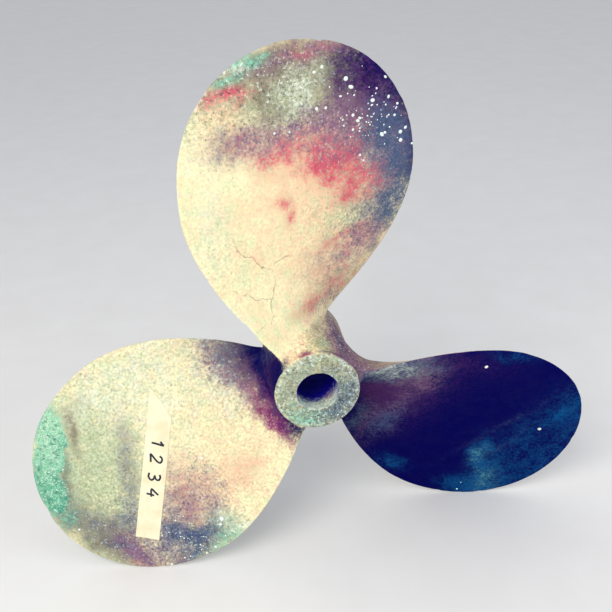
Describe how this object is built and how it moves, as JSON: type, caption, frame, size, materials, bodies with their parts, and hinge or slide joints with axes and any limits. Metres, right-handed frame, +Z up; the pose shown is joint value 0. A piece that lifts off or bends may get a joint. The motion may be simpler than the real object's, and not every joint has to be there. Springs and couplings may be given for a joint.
{
  "type": "ship propeller",
  "caption": "Cast bronze fixed-pitch boat propeller with wide rounded blades, a short barrel hub and a tapered keyed bore, weathered, with a strip of masking tape on one blade.",
  "frame": {"origin": "on the shaft axis, at the centre of the hub's forward face", "axes": "+Y forward along the shaft, from the small end of the bore to the large end; +Z up the reference line of the top blade; +X to the right seen from aft"},
  "size_m": [0.5563, 0.106, 0.522],
  "materials": {
    "weathered_bronze": "matt patinated cast bronze",
    "masking_tape": "matt creped paper"
  },
  "bodies": {
    "root": {"propeller_casting": "weathered_bronze", "label_tape": "masking_tape"}
  },
  "joints": []
}
